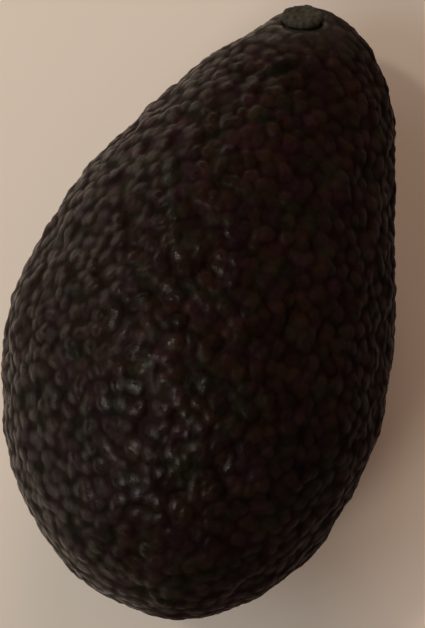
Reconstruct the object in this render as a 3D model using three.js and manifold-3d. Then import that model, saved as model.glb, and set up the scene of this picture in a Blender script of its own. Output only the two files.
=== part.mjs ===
// A dark, pebbly-skinned avocado with the stub of its stalk, lying on its side. Millimetres.
// +Z is up, +Y points to the stem end, and the origin lies on the surface that the fruit
// rests on, under the middle of its bounding box.

import * as THREE from "three";
import { ConvexHull } from "three/addons/math/ConvexHull.js";
import { mergeVertices } from "three/addons/utils/BufferGeometryUtils.js";
import Module from "manifold-3d";

const wasm = await Module();
wasm.setup();

// Driving dimensions of the smooth body. An angle called along runs from 0 at the blossom end
// to PI at the stem end, and one called around goes about the fruit's axis.
const HALF_LENGTH = 53.9;
const HALF_WIDTH_TERMS = [30.3, 7.4, -1.1, -0.3, 0.2, 0.3]; // times cos(k * along) and sin(along)
const BEND_TERMS = [-2, -2.5, 2.4, 0, -0.3, 0.3]; // the centre line's shift, times cos(k * along)
const HEIGHT_OVER_WIDTH = 0.955;

// Gentle swellings of the skin: each row is a count of waves, their length and their height.
const SWELLS = [
  { count: 5, length: 34, height: 0.14 },
  { count: 9, length: 14, height: 0.05 },
];

// This fruit's own bulges and hollows along its flanks: each row is where the middle lies, on
// the fruit's level mid-plane, how far it reaches and how high it stands.
const FLANK_SHAPES = [
  { x: 23, y: -36, reach: 6, height: 1 },
  { x: 28, y: -18.5, reach: 8, height: -0.75 },
  { x: 11, y: -50, reach: 7, height: -0.65 },
  { x: -25, y: -42.5, reach: 7, height: -0.5 },
  { x: -33.5, y: -30, reach: 4, height: 0.45 },
  { x: -22.5, y: 32, reach: 6, height: 0.7 },
  { x: -9, y: 47, reach: 4, height: -0.6 },
  { x: 0, y: 54, reach: 5, height: 0.8 },
  { x: 9, y: 51, reach: 6, height: 0.4 },
  { x: 23.5, y: 18, reach: 8, height: -0.55 },
  { x: 27.5, y: 3.5, reach: 4, height: 0.55 },
];

// Pebbles: low domes that cover the skin, about twice as wide as on the real fruit. Each is a
// cell with a peak, a shoulder round it and sunken corners that it shares.
const PEBBLE_COUNT = 630;
const PEBBLE_PEAK = 0.5;
const PEBBLE_VALLEY = 0.42;
const PEBBLE_VARIATION = 0.5; // the span of the peaks' heights, as a share of PEBBLE_PEAK
const PEBBLE_WANDER = 2.6; // the span of a pebble's random shift, along and around
const SHOULDER_REACH = 0.56; // from the peak towards a corner
const SHOULDER_HEIGHT = 0.72; // as a share of the peak's height
const SEED = 4575;

// Stem end: a stub of stalk in a shallow dimple with a low collar round it.
const STEM_LEAN = 0.33; // radians from the fruit's axis, towards -X
const STEM_RISE = 0.75; // radians towards +Z
const STEM_CENTRE = [1.4, 41.2, -1.2]; // a point inside the fruit that the stem's axis passes
const DIMPLE_DEPTH = 0.5;
const DIMPLE_RADIUS = 4.6;
const COLLAR_HEIGHT = 0.35;
const COLLAR_RADIUS = 5.4;
const COLLAR_WIDTH = 2;
const SOCKET_DEPTH = 1.7; // below the floor of the dimple
const SOCKET_RADIUS = 3.4;
const MOUTH_FLARE = 0.8; // how far the socket opens out under the stub's flared side
const GAP = 0.3; // between the stub and its socket
const STUB_HEIGHT = 1.5; // above the floor of the dimple
const STUB_SIDES = 18;
const STUB_RIBS = 5;
const STUB_RIB_HEIGHT = 0.16;

// Rest: how the fruit leans when its weight is over its lowest place, and how far the skin is
// pressed flat there.
const REST_PITCH = 0.125; // radians, stem end down
const REST_ROLL = 0.03; // radians, towards +X
const PRESS_DEPTH = 0.95;

// Working values
const TABLE_STEPS = 4000;
const NUDGE = 1e-4; // radians for slopes, and the closeness of a search
const GOLDEN_ANGLE = Math.PI * (3 - Math.sqrt(5));

function seededRandom(seed) {
  let state = seed;
  return () => {
    state = (state * 16807) % 2147483647;
    return state / 2147483647;
  };
}

const cosineSum = (terms, angle) =>
  terms.reduce((sum, term, k) => sum + term * Math.cos(k * angle), 0);

const halfWidth = (along) => Math.sin(along) * cosineSum(HALF_WIDTH_TERMS, along);

function smoothSkin(along, around) {
  const radius = halfWidth(along);
  return new THREE.Vector3(
    cosineSum(BEND_TERMS, along) + radius * Math.cos(around),
    -HALF_LENGTH * Math.cos(along),
    HEIGHT_OVER_WIDTH * radius * Math.sin(around),
  );
}

function outward(along, around) {
  const here = smoothSkin(along, around);
  const ahead = smoothSkin(along + NUDGE, around).sub(here);
  const beside = smoothSkin(along, around + NUDGE).sub(here);
  return beside.cross(ahead).normalize();
}

// Sums of skin area and of length over radius from the blossom end. The first spreads the
// pebbles evenly, and the second maps the skin to a sphere without changing its angles.
function skinTables() {
  const step = Math.PI / TABLE_STEPS;
  const area = [0];
  const stretch = [0];
  for (let i = 0; i < TABLE_STEPS; i++) {
    const from = i * step;
    const middle = from + step / 2;
    const rise = halfWidth(from + step) - halfWidth(from);
    const run = HALF_LENGTH * (Math.cos(from) - Math.cos(from + step));
    const length = Math.hypot(rise, run);
    area.push(area[i] + 2 * Math.PI * halfWidth(middle) * length);
    stretch.push(stretch[i] + length / halfWidth(middle));
  }
  return { area, stretch };
}

const { area, stretch } = skinTables();

function alongAtArea(share) {
  const wanted = share * area[TABLE_STEPS];
  let low = 0;
  let high = TABLE_STEPS;
  while (high - low > 1) {
    const middle = (low + high) >> 1;
    if (area[middle] < wanted) low = middle;
    else high = middle;
  }
  const part = (wanted - area[low]) / (area[high] - area[low]);
  return ((low + part) * Math.PI) / TABLE_STEPS;
}

function onSphere(along, around) {
  const place = (along / Math.PI) * TABLE_STEPS;
  const low = Math.floor(place);
  const middle = stretch[TABLE_STEPS >> 1];
  const height = THREE.MathUtils.lerp(stretch[low], stretch[low + 1], place - low) - middle;
  const radius = 1 / Math.cosh(height);
  return new THREE.Vector3(radius * Math.cos(around), Math.tanh(height), radius * Math.sin(around));
}

// The swellings, as waves that run through space in random directions.
function swellWaves(random) {
  return SWELLS.flatMap(({ count, length, height }) =>
    Array.from({ length: count }, () => {
      const up = 2 * random() - 1;
      const turn = 2 * Math.PI * random();
      const flat = Math.sqrt(1 - up * up);
      const size = (2 * Math.PI) / (length * (0.8 + 0.4 * random()));
      const wave = new THREE.Vector3(flat * Math.cos(turn), flat * Math.sin(turn), up);
      return { wave: wave.multiplyScalar(size), phase: 2 * Math.PI * random(), height };
    }),
  );
}

const waves = swellWaves(seededRandom(SEED));

const swellAt = (point) =>
  waves.reduce((sum, w) => sum + w.height * Math.sin(w.wave.dot(point) + w.phase), 0);

function flankAt(point) {
  return FLANK_SHAPES.reduce((sum, { x, y, reach, height }) => {
    const away = Math.hypot(point.x - x, point.y - y, point.z) / reach;
    return sum + height * Math.exp(-(away ** 2));
  }, 0);
}

const stemCentre = new THREE.Vector3(...STEM_CENTRE);
const stemAxis = new THREE.Vector3(
  -Math.sin(STEM_LEAN) * Math.cos(STEM_RISE),
  Math.cos(STEM_LEAN) * Math.cos(STEM_RISE),
  Math.sin(STEM_RISE),
);

// How far a point is from the stem's axis, or far off where it is beyond the fruit's neck.
function fromStem(point) {
  const offset = point.clone().sub(stemCentre);
  const reach = offset.dot(stemAxis);
  return reach > 0 ? offset.addScaledVector(stemAxis, -reach).length() : Infinity;
}

function stemEndAt(point) {
  const distance = fromStem(point);
  const dimple = DIMPLE_DEPTH * Math.exp(-((distance / DIMPLE_RADIUS) ** 4));
  const collar = COLLAR_HEIGHT * Math.exp(-(((distance - COLLAR_RADIUS) / COLLAR_WIDTH) ** 2));
  return collar - dimple;
}

// Height of a pebble's peak: lower close to the stem, where the skin is finer.
function peakHeight(point, random) {
  const spread = 1 + PEBBLE_VARIATION * (random() - 0.5);
  const fade = THREE.MathUtils.smoothstep(fromStem(point), SOCKET_RADIUS, 3 * COLLAR_RADIUS);
  return PEBBLE_PEAK * spread * (0.35 + 0.65 * fade);
}

// One seed for each pebble, set by the golden angle and then shifted at random.
function pebbleSeeds() {
  const random = seededRandom(SEED + 1);
  const whole = area[TABLE_STEPS];
  return Array.from({ length: PEBBLE_COUNT }, (_, i) => {
    const even = (i + 0.5) / PEBBLE_COUNT;
    const radius = halfWidth(alongAtArea(even));
    const shift = (PEBBLE_WANDER * (random() - 0.5) * 2 * Math.PI * radius) / whole;
    const share = THREE.MathUtils.clamp(even + shift, 0.3 / PEBBLE_COUNT, 1 - 0.3 / PEBBLE_COUNT);
    const along = alongAtArea(share);
    const around = i * GOLDEN_ANGLE + (PEBBLE_WANDER * (random() - 0.5)) / halfWidth(along);
    const skin = smoothSkin(along, around);
    const normal = outward(along, around);
    skin.addScaledVector(normal, swellAt(skin) + flankAt(skin) + stemEndAt(skin));
    return { skin, normal, peak: peakHeight(skin, random), sphere: onSphere(along, around) };
  });
}

// A cell for each seed: neighbouring cells meet in sunken corners, one for each three seeds.
function pebbledSkin() {
  const seeds = pebbleSeeds();
  const seedOf = new Map(seeds.map((seed) => [seed.sphere, seed]));
  const hull = new ConvexHull().setFromPoints(seeds.map((seed) => seed.sphere));
  const edgesOf = (face) => [face.edge, face.edge.next, face.edge.next.next];
  const vertices = [];
  const add = (point) => vertices.push(point) - 1;
  const raised = (point, normal, height) => point.clone().addScaledVector(normal, height);

  for (const seed of seeds) {
    seed.index = add(raised(seed.skin, seed.normal, seed.peak));
    seed.shoulders = new Map();
  }
  for (const face of hull.faces) {
    const around = edgesOf(face).map((edge) => seedOf.get(edge.tail().point));
    const corner = new THREE.Vector3();
    const normal = new THREE.Vector3();
    for (const seed of around) {
      corner.addScaledVector(seed.skin, 1 / around.length);
      normal.add(seed.normal);
    }
    face.index = add(raised(corner, normal.normalize(), -PEBBLE_VALLEY));
    for (const seed of around) {
      const shoulder = seed.skin.clone().lerp(corner, SHOULDER_REACH);
      seed.shoulders.set(face, add(raised(shoulder, seed.normal, SHOULDER_HEIGHT * seed.peak)));
    }
  }

  const triangles = hull.faces.flatMap((face) =>
    edgesOf(face).flatMap((edge) => {
      const seed = seedOf.get(edge.tail().point);
      const before = edge.twin.face;
      const [from, to] = [seed.shoulders.get(before), seed.shoulders.get(face)];
      const cap = [seed.index, from, to];
      const side = [from, before.index, face.index, from, face.index, to];
      return [...cap, ...side];
    }),
  );
  return new THREE.BufferGeometry().setFromPoints(vertices).setIndex(triangles);
}

// Turns a lathed profile, whose +Y is its axis, so that it stands on the stem's axis.
function ontoStem(geometry, start) {
  const turn = new THREE.Quaternion().setFromUnitVectors(new THREE.Vector3(0, 1, 0), stemAxis);
  const foot = stemCentre.clone().addScaledVector(stemAxis, start);
  return geometry.applyMatrix4(new THREE.Matrix4().compose(foot, turn, new THREE.Vector3(1, 1, 1)));
}

function isInside(point) {
  if (Math.abs(point.y) >= HALF_LENGTH) return false;
  const along = Math.acos(-point.y / HALF_LENGTH);
  const across = point.x - cosineSum(BEND_TERMS, along);
  return Math.hypot(across, point.z / HEIGHT_OVER_WIDTH) < halfWidth(along);
}

// Distance along the stem's axis, from its centre point, to the floor of the dimple.
function dimpleFloor() {
  let inside = 0;
  let outside = HALF_LENGTH;
  while (outside - inside > NUDGE) {
    const middle = (inside + outside) / 2;
    const point = stemCentre.clone().addScaledVector(stemAxis, middle);
    if (isInside(point)) inside = middle;
    else outside = middle;
  }
  return inside - DIMPLE_DEPTH;
}

const floorReach = dimpleFloor();

function stemSocket() {
  const mouth = 2 * STUB_HEIGHT;
  const profile = [
    [0, -SOCKET_DEPTH],
    [SOCKET_RADIUS - 0.2, -SOCKET_DEPTH],
    [SOCKET_RADIUS, 0],
    [SOCKET_RADIUS + MOUTH_FLARE, MOUTH_FLARE],
    [SOCKET_RADIUS + 1.4 * MOUTH_FLARE, mouth],
    [0, mouth],
  ].map(([x, y]) => new THREE.Vector2(x, y));
  return ontoStem(new THREE.LatheGeometry(profile, STUB_SIDES), floorReach);
}

// The stub: a short woody plug, flared over its foot, with a slightly hollow broken end.
function stemStub() {
  const foot = SOCKET_RADIUS - 0.2 - GAP;
  const profile = [
    [0, GAP - SOCKET_DEPTH],
    [foot, GAP - SOCKET_DEPTH],
    [SOCKET_RADIUS - GAP, 0],
    [SOCKET_RADIUS + 0.05, 0.55],
    [SOCKET_RADIUS + 0.25, 0.45 * STUB_HEIGHT],
    [SOCKET_RADIUS + 0.05, 0.8 * STUB_HEIGHT],
    [SOCKET_RADIUS - 0.55, STUB_HEIGHT],
    [0.55 * SOCKET_RADIUS, 0.97 * STUB_HEIGHT],
    [0.2 * SOCKET_RADIUS, 0.86 * STUB_HEIGHT],
    [0, 0.84 * STUB_HEIGHT],
  ].map(([x, y]) => new THREE.Vector2(x, y));
  const geometry = new THREE.LatheGeometry(profile, STUB_SIDES);
  const position = geometry.getAttribute("position");
  for (let i = 0; i < position.count; i++) {
    const point = new THREE.Vector3().fromBufferAttribute(position, i);
    const radius = Math.hypot(point.x, point.z);
    const share = THREE.MathUtils.smoothstep(point.y, 0, STUB_HEIGHT / 2);
    const around = Math.atan2(point.z, point.x);
    const rib = STUB_RIB_HEIGHT * share * Math.cos(STUB_RIBS * around);
    const scale = radius > 0.5 * SOCKET_RADIUS ? 1 + rib / radius : 1;
    position.setXYZ(i, point.x * scale, point.y, point.z * scale);
  }
  return ontoStem(geometry, floorReach);
}

function solidOf(geometry) {
  const bare = geometry.clone();
  bare.deleteAttribute("normal");
  bare.deleteAttribute("uv");
  const merged = mergeVertices(bare, 1e-3);
  const vertProperties = merged.getAttribute("position").array;
  const triVerts = new Uint32Array(merged.index.array);
  return new wasm.Manifold(new wasm.Mesh({ numProp: 3, vertProperties, triVerts }));
}

function geometryOf(solid) {
  const { vertProperties, triVerts } = solid.getMesh();
  const geometry = new THREE.BufferGeometry();
  geometry.setAttribute("position", new THREE.BufferAttribute(vertProperties, 3));
  geometry.setIndex(new THREE.BufferAttribute(triVerts, 1));
  return geometry;
}

// The lowest height that a geometry reaches once it is turned to rest.
function lowest(geometry, turn) {
  return new THREE.Box3().setFromBufferAttribute(
    geometry.clone().applyMatrix4(turn).getAttribute("position"),
  ).min.z;
}

function avocado() {
  const fruit = new THREE.Group();
  fruit.rotation.set(-REST_PITCH, REST_ROLL, 0);
  fruit.updateMatrix();
  const skin = pebbledSkin();
  const surface = lowest(skin, fruit.matrix) + PRESS_DEPTH;
  const slab = new THREE.BoxGeometry(4 * HALF_LENGTH, 4 * HALF_LENGTH, HALF_LENGTH);
  slab.translate(0, 0, surface - HALF_LENGTH / 2);
  slab.applyMatrix4(fruit.matrix.clone().invert());
  const pressed = solidOf(skin).subtract(solidOf(slab)).subtract(solidOf(stemSocket()));

  const skinMaterial = new THREE.MeshStandardMaterial({
    color: 0x241a17,
    roughness: 0.5,
    metalness: 0,
  });
  const stubMaterial = new THREE.MeshStandardMaterial({
    color: 0x6b6450,
    roughness: 0.85,
    metalness: 0,
  });
  const body = new THREE.Mesh(geometryOf(pressed), skinMaterial);
  body.name = "avocado_fruit";
  const stub = new THREE.Mesh(stemStub(), stubMaterial);
  stub.name = "stem_stub";
  fruit.add(body, stub);

  const placed = new THREE.Group();
  placed.add(fruit);
  const box = new THREE.Box3().setFromObject(placed, true);
  fruit.position.set(-(box.min.x + box.max.x) / 2, -(box.min.y + box.max.y) / 2, -surface);
  return placed;
}

export default avocado();
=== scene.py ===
"""A dark, pebbly avocado with the stub of its stalk, lying on a plain pale floor.

The shapes are worked out in millimetres in the fruit's own frame: +Y points to the stem end and
the fruit's axis is level. An angle called along runs from 0 at the blossom end to pi at the stem
end, and one called around goes about the axis. The CAD stub shows where that frame lies.
"""

import math

import bpy
import numpy as np
from mathutils import Euler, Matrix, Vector
from mathutils.kdtree import KDTree


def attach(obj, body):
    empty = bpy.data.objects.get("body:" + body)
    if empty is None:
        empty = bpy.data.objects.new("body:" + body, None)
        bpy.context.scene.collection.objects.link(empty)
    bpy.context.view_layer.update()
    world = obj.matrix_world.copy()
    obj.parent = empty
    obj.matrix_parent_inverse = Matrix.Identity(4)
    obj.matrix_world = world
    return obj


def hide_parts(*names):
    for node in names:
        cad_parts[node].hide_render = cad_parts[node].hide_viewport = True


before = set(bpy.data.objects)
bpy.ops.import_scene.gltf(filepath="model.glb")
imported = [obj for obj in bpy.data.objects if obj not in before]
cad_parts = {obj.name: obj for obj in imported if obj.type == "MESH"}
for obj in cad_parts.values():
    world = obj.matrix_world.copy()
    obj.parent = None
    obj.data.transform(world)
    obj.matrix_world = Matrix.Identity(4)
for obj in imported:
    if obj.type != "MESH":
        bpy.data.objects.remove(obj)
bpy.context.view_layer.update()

MM = 0.001
TINY = 1e-4  # how close a search comes, and how far apart two equal lengths may be

# The smooth body
HALF_LENGTH = 53.9
HALF_WIDTH_TERMS = (30.3, 7.4, -1.1, -0.3, 0.2, 0.3)  # times cos(k * along) and sin(along)
BEND_TERMS = (-2, -2.5, 2.4, 0, -0.3, 0.3)  # the centre line's shift, times cos(k * along)
HEIGHT_OVER_WIDTH = 0.955
TABLE_STEPS = 4000

# Gentle swellings, as rows of a count of waves, their length and their height
SWELLS = ((5, 34, 0.14), (9, 14, 0.05))
SWELL_SHORTEST = 0.8  # the shortest wave, as a share of its row's length
SWELL_SPAN = 0.4  # from the shortest wave to the longest
SEED = 4575
RANDOM_FACTOR = 16807
RANDOM_MODULUS = 2147483647

# Bulges and hollows of the flanks, as rows of x and y at the widest level, reach and height
FLANK_SHAPES = (
    (23, -36, 6, 1.0),
    (28, -18.5, 8, -0.75),
    (11, -50, 7, -0.65),
    (-25, -42.5, 7, -0.5),
    (-33.5, -30, 4, 0.45),
    (-22.5, 32, 6, 0.7),
    (-9, 47, 4, -0.6),
    (0, 54, 5, 0.8),
    (9, 51, 6, 0.4),
    (23.5, 18, 8, -0.55),
    (27.5, 3.5, 4, 0.55),
)

# Stem end
STEM_LEAN = 0.33  # radians from the fruit's axis, towards -X
STEM_RISE = 0.75  # radians towards +Z
STEM_CENTRE = np.array((1.4, 41.2, -1.2))  # inside the fruit, on the stem's axis
FAR_FROM_STEM = 1000  # beyond the reach of all shapes round the stem
DIMPLE_DEPTH = 0.5
DIMPLE_RADIUS = 4.6
DIMPLE_POWER = 4  # 2 for a bell, and more for a flatter floor
COLLAR_HEIGHT = 0.35
COLLAR_RADIUS = 5.4
COLLAR_WIDTH = 2.0
SOCKET_DEPTH = 1.7  # below the floor of the dimple
SOCKET_RADIUS = 3.4
SOCKET_LIP = (0.4, 0.3)  # how far its wall reaches inside and outside this radius
GAP = 0.3
STUB_HEIGHT = 1.5  # above the floor of the dimple

# How the fruit lies
REST_PITCH = 0.125  # radians, stem end down
REST_ROLL = 0.03  # radians, towards +X
FOOT_TOLERANCE = 0.01  # corners of the CAD stub this near to its lowest one are on its foot

# The mesh of the skin
SKIN_FREQUENCY = 99  # edges along one side of the icosahedron's faces
GOLDEN_RATIO = (1 + math.sqrt(5)) / 2
GOLDEN_ANGLE = math.pi * (3 - math.sqrt(5))
MERGE_DIGITS = 6  # points that agree to so many digits are one

# The fine skin
NOISE_LENGTHS = (0.7, 1.4)  # the shortest and the longest wave of a noise, times its length
PEBBLE_PITCH = 2.5
PEBBLE_WANDER = 2.1  # the span of a pebble's random shift
PEBBLE_MARGIN = 0.3  # the least skin beyond a pebble's middle at either end, in pebbles
PEBBLE_HEIGHT = 0.28
PEBBLE_PEAKS = (0.65, 1.35)  # the lowest and the highest pebble, times the height
PEBBLE_SPREAD = 1.2  # a pebble's dome runs down to its foot at this many half pitches
PEBBLE_POWER = 2.1  # 2 for a parabola, and more for a flatter top
PEBBLE_BLEND = 0.03  # how softly two domes meet
PEBBLE_VALLEY = 0.145  # how far the feet of the domes lie below the smooth body
NEAR_PEBBLES = 6  # how many pebbles are looked up near a point
LUMP_LENGTH = 5.5
LUMP_WAVES = 30
LUMP_HEIGHT = 0.14
GRAIN_LENGTH = 1.3
GRAIN_WAVES = 60
GRAIN_HEIGHT = 0.03
WARP_LENGTH = 4.5
WARP_WAVES = 14
WARP_REACH = 0.15
STEM_RELIEF = 0.35  # the share of the relief that is left beside the stub
STEM_RELIEF_REACH = 3 * COLLAR_RADIUS
BLOSSOM_RELIEF = 0.68  # the share of the relief that is left at the blossom end
BLOSSOM_FADE = (0.5, 1.3)  # it grows to the full relief between these places along the fruit
# Reach of the paler ring round the stub: dry skin, with a painted sheen in its colour
DRY_AND_SHEEN_REACH = 2.2 * COLLAR_RADIUS

# The stub
STUB_SIDES = 120
STUB_RINGS = 70
STUB_RIM = SOCKET_RADIUS + 0.3  # about where it is widest
STUB_PROFILE = np.array(  # distance from its axis, and height above the floor of the dimple
    (
        (0.001, GAP - SOCKET_DEPTH),
        (SOCKET_RADIUS - 0.2 - GAP, GAP - SOCKET_DEPTH),
        (SOCKET_RADIUS - GAP, 0),
        (SOCKET_RADIUS + 0.05, 0.55),
        (SOCKET_RADIUS + 0.25, 0.45 * STUB_HEIGHT),
        (SOCKET_RADIUS + 0.05, 0.8 * STUB_HEIGHT),
        (SOCKET_RADIUS - 0.55, STUB_HEIGHT),
        (0.55 * SOCKET_RADIUS, 0.97 * STUB_HEIGHT),
        (0.2 * SOCKET_RADIUS, 0.86 * STUB_HEIGHT),
        (0.001, 0.84 * STUB_HEIGHT),
    )
)
PROFILE_SMOOTHINGS = 3
RIB_COUNTS = (3, 5, 8, 13, 21)  # waves round the stub that make up its ribs
RIB_HEIGHTS = (0.03, 0.09)  # the lowest and the highest of these waves
CRACK_LENGTH = 1.1
CRACK_WAVES = 40
CRACK_HEIGHT = 0.1
CRACK_START = 0.6 * STUB_HEIGHT
FIBRE_WIDTH = 0.35  # dark lines run where the cracks' noise is nearer to 0 than this

# The floor's halves, as rows of name, left and right edge, and whether the gloss shows them
FLOOR_HALVES = (("floor", -3000, 0, True), ("floor_right", 0, 3000, False))
FLOOR_NEAR, FLOOR_FAR = -3000, 3000
FLOOR_LEVEL = -0.05

# Lights, as rows of name, azimuth and elevation in degrees, distance and size in metres, power,
# colour, and whether the gloss shows them
LIGHTS = (
    ("lamp", 148, 58, 1.2, (0.1, 0.1), 2.05, (1, 0.94, 0.82), True),
    ("screen", 220, 56, 1.2, (0.35, 0.35), 3.0, (1, 0.92, 0.82), True),
    ("window", 200, 8, 1.2, (1.2, 0.25), 1.85, (1, 0.93, 0.82), True),
    ("corner", 140, 6, 0.45, (0.35, 0.15), 0.18, (1, 0.95, 0.88), True),
    ("ceiling", 186, 55, 0.7, (0.3, 0.3), 1.1, (0.78, 0.92, 1), False),
    ("wall", 87, 24, 1.2, (0.5, 0.4), 6.9, (1, 0.73, 0.58), False),
    ("sky", 138, 42, 0.5, (0.3, 0.3), 0.25, (0.8, 0.96, 1), False),
)
ROOM_COLOUR = (1, 0.66, 0.52, 1)
ROOM_STRENGTH = 0.125

# The picture: 425 by 628 pixels
PIXELS_PER_MM = 5.886
PICTURE_HEIGHT = 628
MIDDLE_SHIFT = (0.5, -10.5)  # pixels from the fruit's middle to the picture's, right and up
FRUIT_TILT = 14  # degrees from the picture's upright to the fruit's axis, clockwise
EYE_DISTANCE = 384  # from the fruit's widest level
WIDEST_LEVEL = 31
SENSOR = 36
CLIP_START = 10


def cosine_sum(terms, angle):
    return sum(term * np.cos(k * angle) for k, term in enumerate(terms))


def half_width(along):
    return np.sin(along) * cosine_sum(HALF_WIDTH_TERMS, along)


def smooth_skin(along, around):
    """Points of the smooth body, before the swellings and the relief."""
    radius = half_width(along)
    return np.stack(
        (
            cosine_sum(BEND_TERMS, along) + radius * np.cos(around),
            -HALF_LENGTH * np.cos(along),
            HEIGHT_OVER_WIDTH * radius * np.sin(around),
        ),
        axis=-1,
    )


def area_table():
    """Skin area from the blossom end up to each station, in square millimetres."""
    stations = np.linspace(0, math.pi, TABLE_STEPS + 1)
    width = half_width(stations)
    run = HALF_LENGTH * np.cos(stations)
    length = np.hypot(np.diff(width), np.diff(run))
    middle = half_width((stations[:-1] + stations[1:]) / 2)
    return stations, np.concatenate(([0], np.cumsum(2 * math.pi * middle * length)))


STATIONS, AREA = area_table()


def along_at_area(share):
    """The place along the fruit that has this share of the skin's area behind it."""
    return np.interp(share * AREA[-1], AREA, STATIONS)


def seeded_random(seed):
    """The same simple row of random numbers as the solid model's."""
    state = seed
    while True:
        state = state * RANDOM_FACTOR % RANDOM_MODULUS
        yield state / RANDOM_MODULUS


def swell_waves():
    """Each swelling as a wave's direction and size, its phase and its height."""
    draw = seeded_random(SEED)
    waves = []
    for count, length, height in SWELLS:
        for _ in range(count):
            up = 2 * next(draw) - 1
            turn = 2 * math.pi * next(draw)
            flat = math.sqrt(1 - up * up)
            size = 2 * math.pi / (length * (SWELL_SHORTEST + SWELL_SPAN * next(draw)))
            wave = size * np.array((flat * math.cos(turn), flat * math.sin(turn), up))
            waves.append((wave, 2 * math.pi * next(draw), height))
    return waves


def swell_at(points):
    """How far the swellings and the flanks' shapes lift each point of the skin."""
    swell = sum(height * np.sin(points @ wave + phase) for wave, phase, height in swell_waves())
    for x, y, reach, height in FLANK_SHAPES:
        swell += height * np.exp(-((points - (x, y, 0)) ** 2).sum(axis=1) / reach**2)
    return swell


STEM_AXIS = np.array(
    (
        -math.sin(STEM_LEAN) * math.cos(STEM_RISE),
        math.cos(STEM_LEAN) * math.cos(STEM_RISE),
        math.sin(STEM_RISE),
    )
)


def is_inside(point):
    """Whether a point is inside the smooth body."""
    if abs(point[1]) >= HALF_LENGTH:
        return False
    along = math.acos(-point[1] / HALF_LENGTH)
    across = point[0] - cosine_sum(BEND_TERMS, along)
    return math.hypot(across, point[2] / HEIGHT_OVER_WIDTH) < half_width(along)


def dimple_floor():
    """Distance along the stem's axis, from its centre point, to the floor of the dimple."""
    inside, outside = 0, HALF_LENGTH
    while outside - inside > TINY:
        middle = (inside + outside) / 2
        if is_inside(STEM_CENTRE + middle * STEM_AXIS):
            inside = middle
        else:
            outside = middle
    return inside - DIMPLE_DEPTH


DIMPLE_FLOOR = dimple_floor()


def from_stem(points):
    """How far each point is from the stem's axis, or far off on the blossom end's side."""
    offset = points - STEM_CENTRE
    reach = offset @ STEM_AXIS
    distance = np.linalg.norm(offset - reach[:, None] * STEM_AXIS, axis=1)
    return np.where(reach > 0, distance, FAR_FROM_STEM)


def rest_turn():
    """The fruit's turn from its own frame to the floor's, as a 3 by 3 array."""
    pitch = Euler((-REST_PITCH, 0, 0)).to_matrix()
    roll = Euler((0, REST_ROLL, 0)).to_matrix()
    return np.array(pitch @ roll)


def rest_place(turn):
    """Where the fruit's own origin lies over the floor, from the foot of the CAD stub."""
    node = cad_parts["stem_stub"]
    points = np.array([node.matrix_world @ v.co for v in node.data.vertices]) / MM
    points = np.unique(points.round(3), axis=0)
    depth = points @ (turn @ STEM_AXIS)
    foot = points[depth < depth.min() + FOOT_TOLERANCE].mean(axis=0)
    return foot - turn @ (STEM_CENTRE + (DIMPLE_FLOOR + GAP - SOCKET_DEPTH) * STEM_AXIS)


REST_TURN = rest_turn()
REST_PLACE = rest_place(REST_TURN)


def on_floor(points):
    """Points of the fruit's frame, in millimetres over the floor."""
    return points @ REST_TURN.T + REST_PLACE


def icosahedron():
    """The corners of an icosahedron on the unit sphere, and the corners of each of its faces."""
    corners = [
        corner
        for a in (-1, 1)
        for b in (-GOLDEN_RATIO, GOLDEN_RATIO)
        for corner in ((0, a, b), (a, b, 0), (b, 0, a))
    ]
    radius = math.hypot(1, GOLDEN_RATIO)
    corners = np.array(corners) / radius
    near = np.linalg.norm(corners[:, None] - corners, axis=2) < 2 / radius + TINY
    faces = [
        (i, j, k)
        for i in range(len(corners))
        for j in range(i)
        for k in range(j)
        if near[i, j] and near[j, k] and near[i, k]
    ]
    return corners, faces


def geodesic_sphere(frequency):
    """Evenly spread points of a unit sphere, and the triangles between them."""
    corners, faces = icosahedron()
    rows = [(u, v) for u in range(frequency + 1) for v in range(frequency + 1 - u)]
    place = {row: index for index, row in enumerate(rows)}
    weights = np.array([(u, v, frequency - u - v) for u, v in rows]) / frequency
    cells = []
    for u, v in rows:
        if u + v < frequency:
            cells.append((place[u, v], place[u + 1, v], place[u, v + 1]))
        if u + v < frequency - 1:
            cells.append((place[u + 1, v], place[u + 1, v + 1], place[u, v + 1]))
    cells = np.array(cells)
    points = np.concatenate([weights @ corners[list(face)] for face in faces])
    cells = np.concatenate([cells + n * len(rows) for n in range(len(faces))])
    points /= np.linalg.norm(points, axis=1, keepdims=True)
    _, first, merged = np.unique(
        points.round(MERGE_DIGITS), axis=0, return_index=True, return_inverse=True
    )
    points = points[first]
    cells = merged.reshape(-1)[cells]
    a, b, c = (points[cells[:, n]] for n in range(3))
    inward = np.einsum("ij,ij->i", np.cross(b - a, c - a), a) < 0
    cells[inward] = cells[inward][:, ::-1]
    return points, cells


def vertex_normals(points, cells):
    """The normal at each point: the mean of its triangles' normals, by their areas."""
    a, b, c = (points[cells[:, n]] for n in range(3))
    faces = np.cross(b - a, c - a)
    normals = np.stack(
        [
            sum(np.bincount(cells[:, n], faces[:, axis], len(points)) for n in range(3))
            for axis in range(3)
        ],
        axis=1,
    )
    return normals / np.linalg.norm(normals, axis=1, keepdims=True)


def wave_noise(points, length, count, random):
    """Smooth noise with a spread of 1: sine waves that run in random directions."""
    total = np.zeros(len(points))
    for _ in range(count):
        direction = random.normal(size=3)
        direction /= np.linalg.norm(direction)
        size = length * random.uniform(*NOISE_LENGTHS)
        phase = random.uniform(0, 2 * math.pi)
        total += np.sin(points @ direction * (2 * math.pi / size) + phase)
    return total * math.sqrt(2 / count)


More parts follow.
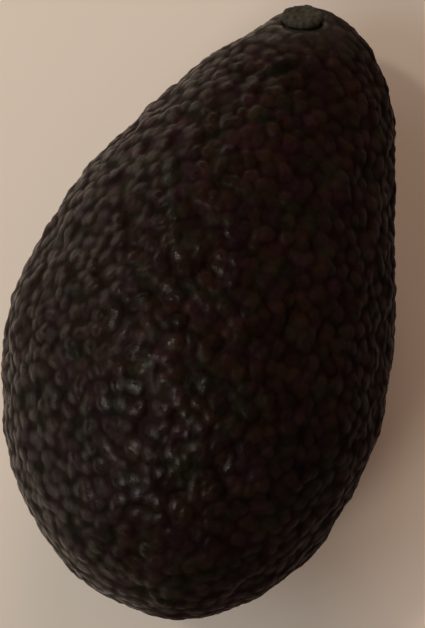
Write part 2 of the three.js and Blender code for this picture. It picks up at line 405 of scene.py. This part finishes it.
def pebble_seeds(random):
    """Middles of the pebbles: a golden-angle spiral over the skin, shifted at random."""
    cell = PEBBLE_PITCH**2 * math.sqrt(3) / 2
    count = int(AREA[-1] / cell)
    order = np.arange(count)
    even = (order + 0.5) / count
    ring = 2 * math.pi * half_width(along_at_area(even))
    shift = PEBBLE_WANDER * (random.random(count) - 0.5) * ring / AREA[-1]
    margin = PEBBLE_MARGIN / count
    along = along_at_area(np.clip(even + shift, margin, 1 - margin))
    aside = PEBBLE_WANDER * (random.random(count) - 0.5) / half_width(along)
    return smooth_skin(along, order * GOLDEN_ANGLE + aside)


def pebbles(points, random):
    """For each point, the pebbles' height and the nearest one's number. Then, how many there are.

    Every pebble is a rounded dome. The skin follows the highest dome, so creases lie between.
    """
    seeds = pebble_seeds(random)
    tree = KDTree(len(seeds))
    for number, seed in enumerate(seeds):
        tree.insert(seed, number)
    tree.balance()

    def nearest(places):
        found = [tree.find_n(place, NEAR_PEBBLES) for place in places]
        numbers = np.array([[row[1] for row in rows] for rows in found])
        distances = np.array([[row[2] for row in rows] for rows in found])
        return numbers, distances

    _, spacing = nearest(seeds)
    foot = PEBBLE_SPREAD * spacing[:, 1:].mean(axis=1) / 2
    peak = PEBBLE_HEIGHT * random.uniform(*PEBBLE_PEAKS, len(seeds))
    warp = [wave_noise(points, WARP_LENGTH, WARP_WAVES, random) for _ in range(3)]
    numbers, distances = nearest(points + WARP_REACH * np.stack(warp, axis=1))
    domes = peak[numbers] * (1 - (distances / foot[numbers]) ** PEBBLE_POWER)
    top = domes.max(axis=1)
    blend = np.exp((domes - top[:, None]) / PEBBLE_BLEND).sum(axis=1)
    return top + PEBBLE_BLEND * np.log(blend), numbers[:, 0], len(seeds)


def smoothstep(value, low, high):
    """From 0 at low to 1 at high, with no kink at either."""
    t = np.clip((value - low) / (high - low), 0, 1)
    return t * t * (3 - 2 * t)


def mesh_object(name, points, faces, material):
    """A smooth-shaded mesh object from points in millimetres over the floor."""
    mesh = bpy.data.meshes.new(name)
    mesh.from_pydata((points * MM).tolist(), [], faces)
    mesh.polygons.foreach_set("use_smooth", [True] * len(mesh.polygons))
    mesh.materials.append(material)
    mesh.update()
    piece = bpy.data.objects.new(name, mesh)
    bpy.context.scene.collection.objects.link(piece)
    return piece


def store(piece, name, values):
    """Keep a number for each point of a mesh, for its material to read."""
    attribute = piece.data.attributes.new(name, "FLOAT", "POINT")
    attribute.data.foreach_set("value", np.asarray(values, dtype=np.float32))


class Shader:
    """A material with a Principled shader, and short ways to add and join nodes."""

    def __init__(self, name):
        self.material = bpy.data.materials.new(name)
        self.material.use_nodes = True
        self.tree = self.material.node_tree
        self.principled = self.tree.nodes["Principled BSDF"]

    def plug(self, socket, value):
        """Link a socket to another one, or set it to a number or a colour."""
        if isinstance(value, bpy.types.NodeSocket):
            self.tree.links.new(value, socket)
        else:
            socket.default_value = (*value, 1) if isinstance(value, tuple) else value

    def node(self, kind, inputs=None, **settings):
        made = self.tree.nodes.new(kind)
        for key, value in settings.items():
            setattr(made, key, value)
        for key, value in (inputs or {}).items():
            self.plug(made.inputs[key], value)
        return made

    def attribute(self, name):
        return self.node("ShaderNodeAttribute", attribute_name=name).outputs["Fac"]

    def noise(self, scale, detail, roughness):
        inputs = {
            "Vector": self.node("ShaderNodeTexCoord").outputs["Object"],
            "Scale": scale,
            "Detail": detail,
            "Roughness": roughness,
        }
        return self.node("ShaderNodeTexNoise", inputs).outputs["Fac"]

    def ramp(self, value, low, high, to_low=0, to_high=1):
        """A number that goes from to_low to to_high while the value goes from low to high."""
        inputs = {
            "Value": value,
            "From Min": low,
            "From Max": high,
            "To Min": to_low,
            "To Max": to_high,
        }
        return self.node("ShaderNodeMapRange", inputs).outputs["Result"]

    def sum(self, a, b):
        return self.node("ShaderNodeMath", {0: a, 1: b}, operation="ADD").outputs[0]

    def blend(self, share, a, b, mode="MIX"):
        """Colour a, with this share of colour b laid over it."""
        made = self.node("ShaderNodeMix", data_type="RGBA", blend_type=mode)
        colours = [socket for socket in made.inputs if socket.type == "RGBA"]
        for socket, value in zip([made.inputs[0], *colours], (share, a, b)):
            self.plug(socket, value)
        return next(socket for socket in made.outputs if socket.type == "RGBA")

    def bump(self, height, distance, strength):
        inputs = {"Height": height, "Distance": distance, "Strength": strength}
        return self.node("ShaderNodeBump", inputs).outputs["Normal"]

    def set(self, **inputs):
        """Set or link the inputs of the Principled shader, with underscores for spaces."""
        for key, value in inputs.items():
            self.plug(self.principled.inputs[key.replace("_", " ")], value)


def skin_material():
    """Brown-black skin with olive and plum patches, painted shade in the creases, shinier crowns,
    and a paler ring at the stem: dry skin with a painted sheen.
    """
    shader = Shader("avocado_skin")
    height = shader.attribute("pebble_height")
    tone = shader.attribute("pebble_tone")
    dryness_and_sheen = shader.attribute("dryness_and_sheen")
    patches = shader.noise(180, 3, 0.6)
    cloud = shader.noise(260, 2, 0.5)
    grain = shader.noise(900, 3, 0.6)

    # crease is painted shade: the colour darkens from the crowns down into the creases between the
    # pebbles. The crowns' lighter colour is wear.
    painted_crease_shade = (0.0058, 0.0024, 0.0014)
    crown = (0.0092, 0.0034, 0.0020)
    olive = (0.0055, 0.0056, 0.0022)
    plum = (0.0100, 0.0028, 0.0048)
    # Paler grey-brown for the dry ring round the stub, lightened further as a painted sheen
    dry_skin_and_sheen = (0.0170, 0.0140, 0.0100)
    # Painted shade in the creases, lighter worn crowns
    colour = shader.blend(shader.ramp(height, 0.1, 0.9), painted_crease_shade, crown)
    colour = shader.blend(shader.ramp(patches, 0.5, 0.62, 0, 0.75), colour, olive)
    colour = shader.blend(shader.ramp(cloud, 0.5, 0.65, 0, 0.7), colour, plum)
    colour = shader.blend(shader.ramp(dryness_and_sheen, 0, 1, 0, 0.8), colour, dry_skin_and_sheen)
    colour = shader.blend(1.0, colour, shader.ramp(tone, 0, 1, 0.55, 1.5), "MULTIPLY")
    colour = shader.blend(1.0, colour, shader.ramp(grain, 0.3, 0.7, 0.8, 1.2), "MULTIPLY")

    wear = shader.ramp(height, 0.3, 1, 0.52, 0.28)
    rough = shader.sum(wear, shader.ramp(grain, 0.3, 0.7, -0.06, 0.06))
    gloss = shader.ramp(height, 0.15, 1.05, 0.065, 0.25)
    pores = shader.bump(shader.noise(1500, 4, 0.6), 0.00012, 0.7)
    shader.set(Base_Color=colour, Roughness=rough, Specular_IOR_Level=gloss, Normal=pores)
    return shader.material


def skin():
    """The pebbly skin as one closed mesh: its socket runs on under the stub."""
    random = np.random.default_rng(SEED)
    sphere, cells = geodesic_sphere(SKIN_FREQUENCY)
    along = along_at_area((1 + sphere[:, 1]) / 2)
    around = np.arctan2(sphere[:, 2], sphere[:, 0])
    smooth = smooth_skin(along, around)
    normals = vertex_normals(smooth, cells)

    distance = from_stem(smooth)
    dimple = DIMPLE_DEPTH * np.exp(-((distance / DIMPLE_RADIUS) ** DIMPLE_POWER))
    collar = COLLAR_HEIGHT * np.exp(-(((distance - COLLAR_RADIUS) / COLLAR_WIDTH) ** 2))
    inner, outer = SOCKET_RADIUS - SOCKET_LIP[0], SOCKET_RADIUS + SOCKET_LIP[1]
    socket = SOCKET_DEPTH * (1 - smoothstep(distance, inner, outer))
    body = swell_at(smooth) + collar - dimple - socket

    height, own, count = pebbles(smooth, random)
    tone = random.random(count)
    lumps = LUMP_HEIGHT * wave_noise(smooth, LUMP_LENGTH, LUMP_WAVES, random)
    grain = GRAIN_HEIGHT * wave_noise(smooth, GRAIN_LENGTH, GRAIN_WAVES, random)
    from_stub = smoothstep(distance, SOCKET_RADIUS, STEM_RELIEF_REACH)
    finer = STEM_RELIEF + (1 - STEM_RELIEF) * from_stub
    calmer = BLOSSOM_RELIEF + (1 - BLOSSOM_RELIEF) * smoothstep(along, *BLOSSOM_FADE)
    relief = finer * calmer * (height - PEBBLE_VALLEY + lumps) + grain

    points = on_floor(smooth + normals * (body + relief)[:, None])
    points[:, 2] = np.maximum(points[:, 2], 0)
    piece = mesh_object("avocado_skin", points, cells.tolist(), skin_material())
    store(piece, "pebble_height", height / PEBBLE_HEIGHT)
    store(piece, "pebble_tone", tone[own])
    # Paler round the stub: dry skin and a painted sheen
    store(piece, "dryness_and_sheen", 1 - smoothstep(distance, SOCKET_RADIUS, DRY_AND_SHEEN_REACH))
    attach(piece, "root")
    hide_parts("avocado_fruit")


def stub_material():
    """Dry grey-green wood, browner at its rim and dark in its cracks."""
    shader = Shader("dry_stalk")
    radial = shader.attribute("radial")
    fibre = shader.attribute("fibre")
    mottle = shader.noise(500, 4, 0.6)
    grain = shader.noise(2500, 3, 0.6)

    dark = (0.0095, 0.0085, 0.0056)
    pale = (0.043, 0.041, 0.027)
    rim = (0.015, 0.0126, 0.0088)
    split = (0.006, 0.0047, 0.0032)
    colour = shader.blend(shader.ramp(mottle, 0.3, 0.7), dark, pale)
    colour = shader.blend(shader.ramp(radial, 0.75, 1, 0, 0.6), colour, rim)
    colour = shader.blend(shader.ramp(fibre, 0, 1, 0.6, 0), colour, split)
    shader.set(Base_Color=colour, Roughness=0.85, Normal=shader.bump(grain, 0.0002, 0.8))
    return shader.material


def smoothed_profile():
    """The stub's radius and level at each ring, with its corners rounded off."""
    length = np.concatenate(([0], np.cumsum(np.hypot(*np.diff(STUB_PROFILE, axis=0).T))))
    stations = np.linspace(0, length[-1], STUB_RINGS)
    radius = np.interp(stations, length, STUB_PROFILE[:, 0])
    level = np.interp(stations, length, STUB_PROFILE[:, 1])
    for _ in range(PROFILE_SMOOTHINGS):
        radius[1:-1] = (radius[:-2] + 2 * radius[1:-1] + radius[2:]) / 4
        level[1:-1] = (level[:-2] + 2 * level[1:-1] + level[2:]) / 4
    return radius, level


def lathe_faces(count):
    """Faces of a lathed mesh: one point at its foot, rings of points, and one point at its top."""
    ring = np.arange(1, STUB_SIDES + 1)
    after = np.roll(ring, -1)
    rows = range(0, count - 2 - STUB_SIDES, STUB_SIDES)
    band = np.stack((ring, ring + STUB_SIDES, after + STUB_SIDES, after), axis=1)
    bands = [band + row for row in rows]
    first, last = np.zeros_like(ring), np.full_like(ring, count - 1)
    bottom = np.stack((first, ring, after), axis=1)
    top = np.stack((last, after + rows.stop, ring + rows.stop), axis=1)
    return np.concatenate(bands).tolist() + bottom.tolist() + top.tolist()


def stub():
    """The woody stub: a lathed plug with ribs round its side and a cracked, broken end."""
    random = np.random.default_rng(SEED + 1)
    radius, level = smoothed_profile()
    around = np.linspace(0, 2 * math.pi, STUB_SIDES, endpoint=False)
    ribs = sum(
        random.uniform(*RIB_HEIGHTS) * np.cos(k * around + random.uniform(0, 2 * math.pi))
        for k in RIB_COUNTS
    )
    share = smoothstep(level, 0, STUB_HEIGHT / 2) * radius / SOCKET_RADIUS
    wide = radius[:, None] + share[:, None] * ribs
    plug = np.stack(
        (
            wide * np.cos(around),
            np.repeat(level[:, None], STUB_SIDES, axis=1),
            wide * np.sin(around),
        ),
        axis=-1,
    ).reshape(-1, 3)
    plug = plug[STUB_SIDES - 1 : 1 - STUB_SIDES]  # one point is left at either end of the axis
    crack = wave_noise(plug, CRACK_LENGTH, CRACK_WAVES, random)
    plug[:, 1] += CRACK_HEIGHT * smoothstep(plug[:, 1], CRACK_START, STUB_HEIGHT) * crack

    side = Vector(STEM_AXIS).orthogonal().normalized()
    basis = np.stack((side, STEM_AXIS, np.cross(side, STEM_AXIS)))
    points = on_floor(STEM_CENTRE + DIMPLE_FLOOR * STEM_AXIS + plug @ basis)
    piece = mesh_object("stalk_stub", points, lathe_faces(len(points)), stub_material())
    store(piece, "radial", np.hypot(plug[:, 0], plug[:, 2]) / STUB_RIM)
    store(piece, "fibre", smoothstep(np.abs(crack), 0, FIBRE_WIDTH))
    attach(piece, "root")
    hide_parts("stem_stub")


def floor():
    """Two halves that meet along the fruit. The right one would make its dark side shine."""
    shader = Shader("pale_floor")
    shader.set(Base_Color=(0.71, 0.625, 0.54), Roughness=0.7)
    for name, left, right, glossy in FLOOR_HALVES:
        corners = (
            (left, FLOOR_NEAR),
            (right, FLOOR_NEAR),
            (right, FLOOR_FAR),
            (left, FLOOR_FAR),
        )
        points = np.array([(x, y, FLOOR_LEVEL) for x, y in corners])
        piece = mesh_object(name, points, [(0, 1, 2, 3)], shader.material)
        piece.visible_glossy = glossy


def area_light(name, azimuth, elevation, distance, size, power, colour, glossy):
    """A soft light. Azimuth is seen in the picture: 0 is right and 90 is up."""
    turn = math.radians(azimuth + FRUIT_TILT)
    rise = math.radians(elevation)
    way = Vector(
        (math.cos(rise) * math.cos(turn), math.cos(rise) * math.sin(turn), math.sin(rise))
    )
    data = bpy.data.lights.new(name, "AREA")
    data.shape = "ELLIPSE"
    data.size, data.size_y = size
    data.energy = power
    data.color = colour
    light = bpy.data.objects.new(name, data)
    light.location = way * distance + Vector((0, 0, WIDEST_LEVEL * MM))
    light.rotation_euler = way.to_track_quat("Z", "Y").to_euler()
    light.visible_glossy = glossy
    bpy.context.scene.collection.objects.link(light)


def room():
    """The lights, and the dim glow of the room around them."""
    for row in LIGHTS:
        area_light(*row)
    world = bpy.data.worlds.new("room")
    world.use_nodes = True
    background = world.node_tree.nodes["Background"]
    background.inputs["Color"].default_value = ROOM_COLOUR
    background.inputs["Strength"].default_value = ROOM_STRENGTH
    bpy.context.scene.world = world


def camera():
    """Straight above the fruit, turned so that the fruit leans as in the picture."""
    data = bpy.data.cameras.new("camera")
    data.sensor_width = SENSOR
    data.lens = SENSOR * EYE_DISTANCE * PIXELS_PER_MM / PICTURE_HEIGHT
    data.clip_start = CLIP_START * MM
    piece = bpy.data.objects.new("camera", data)
    tilt = math.radians(FRUIT_TILT)
    shift = Vector((*MIDDLE_SHIFT, 0)) / PIXELS_PER_MM
    shift.rotate(Euler((0, 0, tilt)))
    piece.location = (shift + Vector((0, 0, WIDEST_LEVEL + EYE_DISTANCE))) * MM
    piece.rotation_euler = (0, 0, tilt)
    bpy.context.scene.collection.objects.link(piece)
    bpy.context.scene.camera = piece


camera()
skin()
stub()
floor()
room()
bpy.context.scene.view_settings.view_transform = "Standard"
